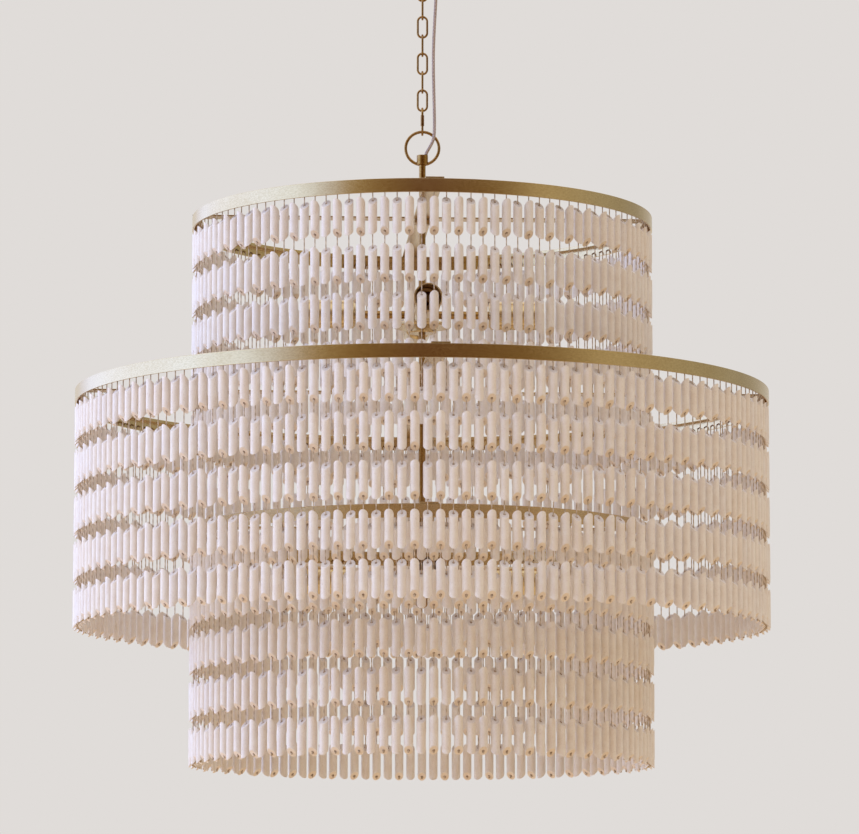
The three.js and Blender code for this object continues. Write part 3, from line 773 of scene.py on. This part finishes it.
def add_stem():
    """The stem's tube, the cap on its top and the cup at its foot."""
    shapes = bmesh.new()
    profile = [(STEM_BORE, STEM_LOW), (STEM_RADIUS, STEM_LOW), (STEM_RADIUS, STEM_TOP), (STEM_BORE, STEM_TOP)]
    soften(shapes, lathe(shapes, profile, SMALL_STEPS, closed=True), STEM_EDGE)
    finished("stem_tube", shapes, SHADED_BRASS, "light", ["stem"])

    roof = CAP_TOP - CAP_ROOF
    profile = [(0, roof), (STEM_HOLE, roof), (STEM_HOLE, CAP_LOW), (CAP_RADIUS, CAP_LOW),
               (CAP_RADIUS, CAP_TOP), (0, CAP_TOP)]
    shapes = bmesh.new()
    soften(shapes, lathe(shapes, profile, ROUND_STEPS), CAP_EDGE, segments=CAP_EDGE_STEPS)
    finished("stem_cap_cup", shapes, SHADED_BRASS, "light", ["stem_cap"])

    middle = (FINIAL_TOP + FINIAL_LOW) / 2
    rise = middle - FINIAL_LOW
    bends = [QUARTER * i / DOME_STEPS for i in range(DOME_STEPS + 1)]
    profile = [(FINIAL_RADIUS * math.sin(bend), middle - rise * math.cos(bend)) for bend in bends]
    profile += [(FINIAL_RADIUS, FINIAL_TOP), (STEM_HOLE, FINIAL_TOP), (STEM_HOLE, middle), (0, middle)]
    shapes = bmesh.new()
    lathe(shapes, profile, ROUND_STEPS)
    finished("stem_finial_cup", shapes, SHADED_BRASS, "light", ["stem_finial"])


def add_nut(tier, size):
    """The hexagon nut under a tier's cross."""
    top = size["top"]
    low = top - NUT_HEIGHT
    profile = [(STEM_HOLE, low), (NUT_RADIUS, low), (NUT_RADIUS, top), (STEM_HOLE, top)]
    shapes = bmesh.new()
    made = lathe(shapes, profile, HEXAGON, closed=True, place=Matrix.Rotation(size["turn"], 4, "Z"))
    soften(shapes, made, NUT_EDGE)
    finished(f"{tier}_hex_nut", shapes, SHADED_BRASS, "light", [f"{tier}_hub_nut"], HEX_SHARP)


# Rings and their spokes

def add_ring(tier, size):
    """A tier's band, with the flange at its top."""
    radius, top = size["radius"], size["top"]
    low = top - BAND_HEIGHT
    shelf = top - FLANGE_WALL
    flange, web = radius - FLANGE_WIDTH, radius - BAND_WALL
    profile = [(web, low), (radius, low), (radius, top), (flange, top), (flange, shelf), (web, shelf)]
    shapes = bmesh.new()
    soften(shapes, lathe(shapes, profile, RING_STEPS, closed=True), BAND_EDGE)
    finished(f"{tier}_ring_band", shapes, BRASS, "light", [f"{tier}_ring"])


def add_spokes(tier, size):
    """Two bars halved into each other, bored for the stem."""
    under = size["top"] + FIT_GAP
    reach = size["radius"] - FIT_GAP
    half = SPOKE_WIDTH / 2
    shapes = bmesh.new()
    bmesh.ops.create_grid(shapes, x_segments=1, y_segments=1, size=half)
    hub_face = shapes.faces[:][0]
    sides = list(hub_face.edges)
    bmesh.ops.delete(shapes, geom=[hub_face], context="FACES_ONLY")
    for side in sides:
        outward = sum((vert.co for vert in side.verts), Vector()) / 2
        made = bmesh.ops.extrude_edge_only(shapes, edges=[side])["geom"]
        verts = [item for item in made if isinstance(item, bmesh.types.BMVert)]
        bmesh.ops.translate(shapes, vec=outward.normalized() * (reach - half), verts=verts)
    bore = bmesh.ops.create_circle(shapes, cap_ends=False, segments=ROUND_STEPS, radius=STEM_HOLE)["verts"]
    rim = [edge for edge in shapes.edges if edge.verts[0] in bore and edge.verts[1] in bore]
    bmesh.ops.bridge_loops(shapes, edges=rim + sides)
    bmesh.ops.recalc_face_normals(shapes, faces=shapes.faces)
    bmesh.ops.solidify(shapes, geom=shapes.faces, thickness=SPOKE_WALL)
    lowest = min(vert.co.z for vert in shapes.verts)
    bmesh.ops.transform(shapes, matrix=lifted(under - lowest, size["turn"]), verts=shapes.verts)
    soften(shapes, shapes.verts, SPOKE_EDGE)
    finished(f"{tier}_cross_bars", shapes, BRASS, "light", [f"{tier}_spokes"])


# Bead strings

def bead_mesh(height):
    """One bead that stands on the origin, its ends cut aslant: its +X side is the higher at both ends."""
    shapes = bmesh.new()
    fall = 2 * BEAD_RADIUS * math.tan(BEAD_CUT)
    low, high = fall / 2, height - fall / 2
    face_radius = BEAD_RADIUS - BEAD_EDGE
    profile = [(BEAD_RADIUS, low + BEAD_EDGE), (BEAD_RADIUS, high - BEAD_EDGE), (face_radius, high),
               (BEAD_BORE, high), (BEAD_BORE, low), (face_radius, low)]
    lathe(shapes, profile, BEAD_SIDES, closed=True)
    bmesh.ops.recalc_face_normals(shapes, faces=shapes.faces)
    cut_and_painted_light = shapes.faces.layers.float.new("cut")
    for face in shapes.faces:
        # Upper cut faces are marked for painted skylight, and bore faces for painted shade
        if abs(face.normal.z) > ALONG_BEAD_SHARE:
            face[cut_and_painted_light] = SKYLIT_CUT if face.normal.z > 0 else BARE_CUT
        elif face.calc_center_median().xy.length < BEAD_RADIUS / 2:
            face[cut_and_painted_light] = SHADED_BORE
    slant = Matrix.Shear("YZ", 4, (0, math.tan(BEAD_CUT)))
    bmesh.ops.transform(shapes, matrix=slant, verts=shapes.verts)
    mesh = bpy.data.meshes.new("bead")
    shapes.to_mesh(mesh)
    shapes.free()
    return mesh


def row_top(size, row):
    """The height of a row's upper tips."""
    return size["top"] - FIRST_ROW_DROP - ROW_PITCH * row


def string_place(size, string):
    """A string's angle round its ring, counted from the middle of the front, and its place at no height."""
    angle = -QUARTER + TURN * (string + size["first_share"]) / size["strings"]
    return angle, Vector((math.cos(angle), math.sin(angle), 0)) * (size["radius"] - BEAD_INSET)


def meets_spoke(tier, row, angle):
    """Whether the middle tier's spokes pass under a bead of the upper tier's fourth row."""
    if tier != "upper" or row != SHORT_BEAD_ROW:
        return False
    off = (angle - TIERS["middle"]["turn"] + QUARTER / 2) % QUARTER - QUARTER / 2
    return abs(math.sin(off)) * (TIERS["upper"]["radius"] - BEAD_INSET) < SHORT_BEAD_REACH


def add_bead_row(tier, size, row, whole, short):
    """One row of a tier's beads, from the meshes of a whole bead and of a short one."""
    chance = random.Random(f"{tier} {row}")
    high = row_top(size, row)
    shapes = bmesh.new()
    tone = shapes.verts.layers.float.new("tone")
    for string in range(size["strings"]):
        angle, outward = string_place(size, string)
        trimmed = meets_spoke(tier, row, angle)
        before = len(shapes.verts)
        shapes.from_mesh(short if trimmed else whole)
        shapes.verts.ensure_lookup_table()
        verts = shapes.verts[before:]
        shade = chance.random()
        for vert in verts:
            vert[tone] = shade
        # Strings take turns: one bead's outer side is its low side, and the next one's is its high side
        facing = angle + HALF_TURN * ((string + 1) % 2) + chance.uniform(-BEAD_TWIST, BEAD_TWIST)
        low = SHORT_BEAD_LOW if trimmed else high - BEAD_HEIGHT + chance.uniform(-BEAD_DROP, 0)
        place = Matrix.Translation(outward + UP * low) @ Matrix.Rotation(facing, 4, "Z")
        bmesh.ops.transform(shapes, matrix=place, verts=verts)
    number = row + 1
    finished(f"{tier}_beads_row_{number}", shapes, CLAY, "light", [f"{tier}_bead_row_{number}"])


def add_twines(tier, size):
    """Each string's twine, from the hook behind the band's foot to the knot in its last bead."""
    high = size["top"] - HOOK_DROP
    low = row_top(size, ROWS - 1) - BEAD_HEIGHT + LAST_KNOT_RISE
    shapes = bmesh.new()
    hooks = bmesh.new()
    for string in range(size["strings"]):
        _, outward = string_place(size, string)
        foot = outward + UP * high
        reach = outward.normalized() * HOOK_REACH + UP * HOOK_RISE
        turned = reach.to_track_quat("Z", "Y").to_matrix().to_4x4()
        bmesh.ops.create_cone(hooks, cap_ends=True, segments=TWINE_SIDES, radius1=HOOK_RADIUS,
                              radius2=TWINE_RADIUS, depth=reach.length,
                              matrix=Matrix.Translation(foot + reach / 2) @ turned)
        bmesh.ops.create_cone(shapes, cap_ends=True, segments=TWINE_SIDES, radius1=TWINE_RADIUS,
                              radius2=TWINE_RADIUS, depth=high - low,
                              matrix=Matrix.Translation(outward + UP * (high + low) / 2))
        bmesh.ops.create_icosphere(shapes, subdivisions=1, radius=KNOT_RADIUS,
                                   matrix=Matrix.Translation(outward + UP * low))
    finished(f"{tier}_twines", shapes, TWINE, "light")
    finished(f"{tier}_hooks", hooks, SHADED_BRASS, "light")


# Lamp clusters

def add_hub(tier, height):
    """A cluster's hub, with its boss, disc and neck, and the four arms with their collars."""
    place = lifted(height, CLUSTER_TURN)
    rim = DISC_RADIUS - DISC_CHAMFER
    profile = [
        (STEM_HOLE, BOSS_LOW), (BOSS_RADIUS - HUB_CHAMFER, BOSS_LOW), (BOSS_RADIUS, BOSS_LOW + HUB_CHAMFER),
        (BOSS_RADIUS, DISC_LOW), (rim, DISC_LOW), (DISC_RADIUS, DISC_LOW + DISC_CHAMFER),
        (DISC_RADIUS, DISC_TOP - DISC_CHAMFER), (rim, DISC_TOP), (NECK_RADIUS, DISC_TOP),
        (NECK_RADIUS, NECK_TOP - HUB_CHAMFER), (NECK_RADIUS - HUB_CHAMFER, NECK_TOP), (STEM_HOLE, NECK_TOP),
    ]
    shapes = bmesh.new()
    lathe(shapes, profile, ROUND_STEPS, closed=True, place=place)
    finished(f"{tier}_lamp_hub_body", shapes, BRASS, "light", [f"{tier}_lamp_hub"])

    shapes = bmesh.new()
    for i in range(CLUSTER_ARMS):
        along = Matrix.Rotation(QUARTER * i, 4, "Z") @ Matrix.Rotation(QUARTER, 4, "Y")
        far = SOCKET_START - FIT_GAP
        arm = [(0, ARM_START), (ARM_RADIUS, ARM_START), (ARM_RADIUS, far), (0, far)]
        lathe(shapes, arm, SMALL_STEPS, place=along)
        first, last = ARM_COLLAR_START, ARM_COLLAR_START + ARM_COLLAR_LENGTH
        collar = [(0, first), (ARM_COLLAR_RADIUS, first), (ARM_COLLAR_RADIUS, last), (0, last)]
        soften(shapes, lathe(shapes, collar, SMALL_STEPS, place=along), ARM_COLLAR_EDGE)
    bmesh.ops.transform(shapes, matrix=place, verts=shapes.verts)
    finished(f"{tier}_lamp_arms", shapes, SHADED_BRASS, "light")


def add_socket(tier, height, arm):
    """A lamp holder: a brass cup on the arm's end, with an insulator, a screw shell and a contact inside."""
    place = lifted(height, CLUSTER_TURN + QUARTER * arm) @ Matrix.Rotation(QUARTER, 4, "Y")
    inside = SOCKET_RADIUS - SOCKET_WALL
    mouth = inside - SOCKET_ROLL
    back = SOCKET_RADIUS - SOCKET_CHAMFER
    cup = [
        (0, SOCKET_START), (back, SOCKET_START), (SOCKET_RADIUS, SOCKET_START + SOCKET_CHAMFER),
        (SOCKET_RADIUS, SOCKET_END), (mouth, SOCKET_END), (mouth, SOCKET_END - SOCKET_WALL),
        (inside, SOCKET_END - 2 * SOCKET_WALL), (inside, SOCKET_FLOOR), (0, SOCKET_FLOOR),
    ]
    shapes = bmesh.new()
    soften(shapes, lathe(shapes, cup, ROUND_STEPS), SOCKET_EDGE, SOCKET_EDGE_TURN)
    bmesh.ops.transform(shapes, matrix=place, verts=shapes.verts)
    name = f"{tier}_socket_{arm + 1}"
    finished(f"{name}_cup", shapes, BRASS, "light", [name])

    inner = SHELL_RADIUS + SHELL_DEPTH + SHELL_WALL
    start = SOCKET_FLOOR + SHELL_PITCH
    insulator = [(0, SOCKET_FLOOR), (INSULATOR_RADIUS, SOCKET_FLOOR), (INSULATOR_RADIUS, INSULATOR_END),
                 (inner, INSULATOR_END), (inner, start), (0, start)]
    shapes = bmesh.new()
    soften(shapes, lathe(shapes, insulator, ROUND_STEPS), INSULATOR_EDGE)
    bmesh.ops.transform(shapes, matrix=place, verts=shapes.verts)
    finished(f"{name}_insulator", shapes, PHENOLIC, "light")

    wave = []
    for i in range(SHELL_RIDGES * RIDGE_STEPS + 1):
        swell = SHELL_DEPTH * (1 - math.cos(TURN * i / RIDGE_STEPS)) / 2
        wave.append((SHELL_RADIUS + swell, start + SHELL_PITCH * i / RIDGE_STEPS))
    skin = [(radius + SHELL_WALL, at) for radius, at in reversed(wave)]
    shapes = bmesh.new()
    lathe(shapes, wave + skin, SMALL_STEPS, closed=True)
    foot, top = start - MERGE, start + CONTACT_HEIGHT
    contact = [(0, foot), (CONTACT_RADIUS, foot), (CONTACT_RADIUS, start + CONTACT_HEIGHT / 2),
               (CONTACT_RADIUS / 2, top), (0, top)]
    lathe(shapes, contact, SMALL_STEPS)
    bmesh.ops.transform(shapes, matrix=place, verts=shapes.verts)
    finished(f"{name}_screw_shell", shapes, SHADED_BRASS, "light")


add_ceiling_bar()
add_canopy()
add_bushes()
add_chain()
add_quick_link()
add_hanging_ring()
add_stem()
whole_bead = bead_mesh(BEAD_HEIGHT)
short_bead = bead_mesh(row_top(TIERS["upper"], SHORT_BEAD_ROW) - SHORT_BEAD_LOW)
for tier, size in TIERS.items():
    add_nut(tier, size)
    add_ring(tier, size)
    add_spokes(tier, size)
    add_twines(tier, size)
    for row in range(ROWS):
        add_bead_row(tier, size, row, whole_bead, short_bead)
for mesh in (whole_bead, short_bead):
    bpy.data.meshes.remove(mesh)
for tier, height in CLUSTERS.items():
    add_hub(tier, height)
    for arm in range(CLUSTER_ARMS):
        add_socket(tier, height, arm)
